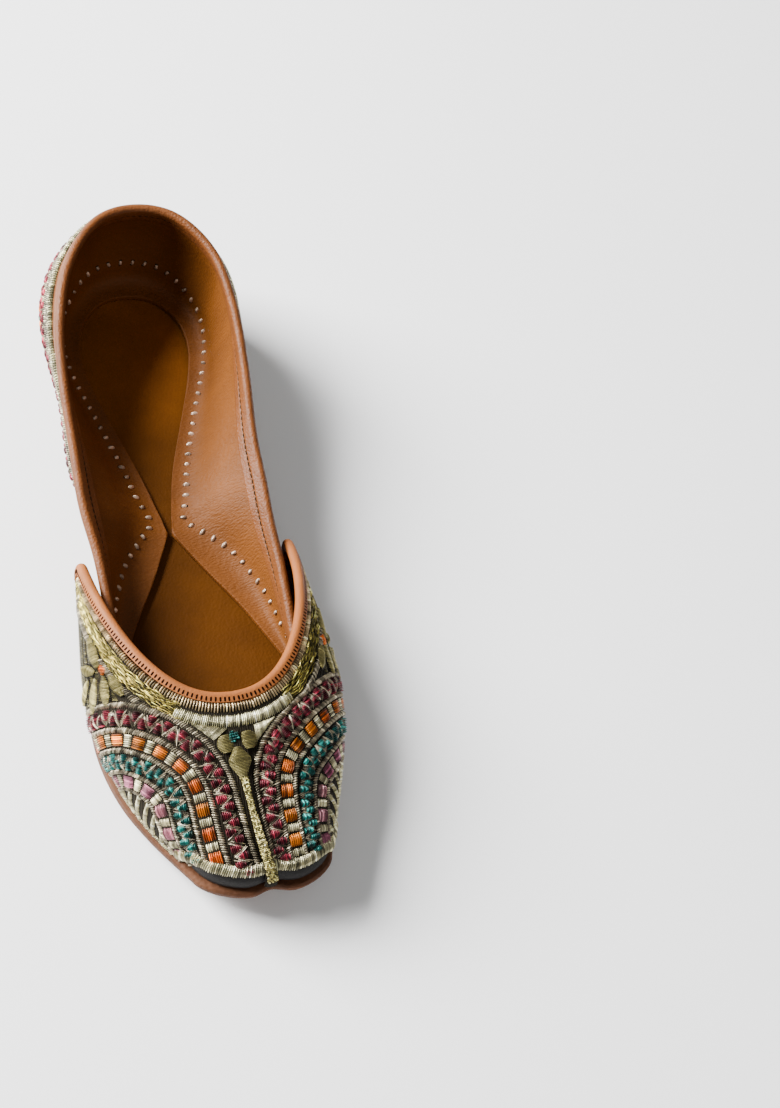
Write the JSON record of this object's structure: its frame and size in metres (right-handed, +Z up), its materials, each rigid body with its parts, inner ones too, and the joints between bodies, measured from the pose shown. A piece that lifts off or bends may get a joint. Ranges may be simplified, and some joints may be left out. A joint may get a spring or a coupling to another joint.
{
  "type": "jutti shoe",
  "caption": "Flat leather slip-on with a blunt sprung toe, an embroidered vamp, a low heel quarter with a bound collar and a flat leather sole; right foot.",
  "frame": {"origin": "middle of the bounding box on the floor plane under the sole", "axes": "+Y towards the heel along the shoe's length, +X towards the inner (big toe) side, +Z up"},
  "size_m": [0.0836, 0.2528, 0.0507],
  "materials": {
    "sole_leather": "brown sole leather, cut and lightly burnished edge",
    "insole_leather": "smooth brown leather",
    "lining_leather": "soft tan-brown lining leather",
    "tan_leather": "copper-tan folded leather with a soft gloss",
    "dark_leather": "plain dark grey band",
    "metallic_thread": "dense embroidery in pale gold metallic thread with maroon, orange, teal and pink bands"
  },
  "bodies": {
    "root": {"outsole": "sole_leather", "insole": "insole_leather", "vamp": "metallic_thread", "toe_band": "dark_leather", "vamp_binding": "tan_leather", "quarter": "lining_leather", "quarter_binding": "tan_leather", "heel_cover": "metallic_thread", "centre_stem": "metallic_thread"}
  },
  "joints": []
}
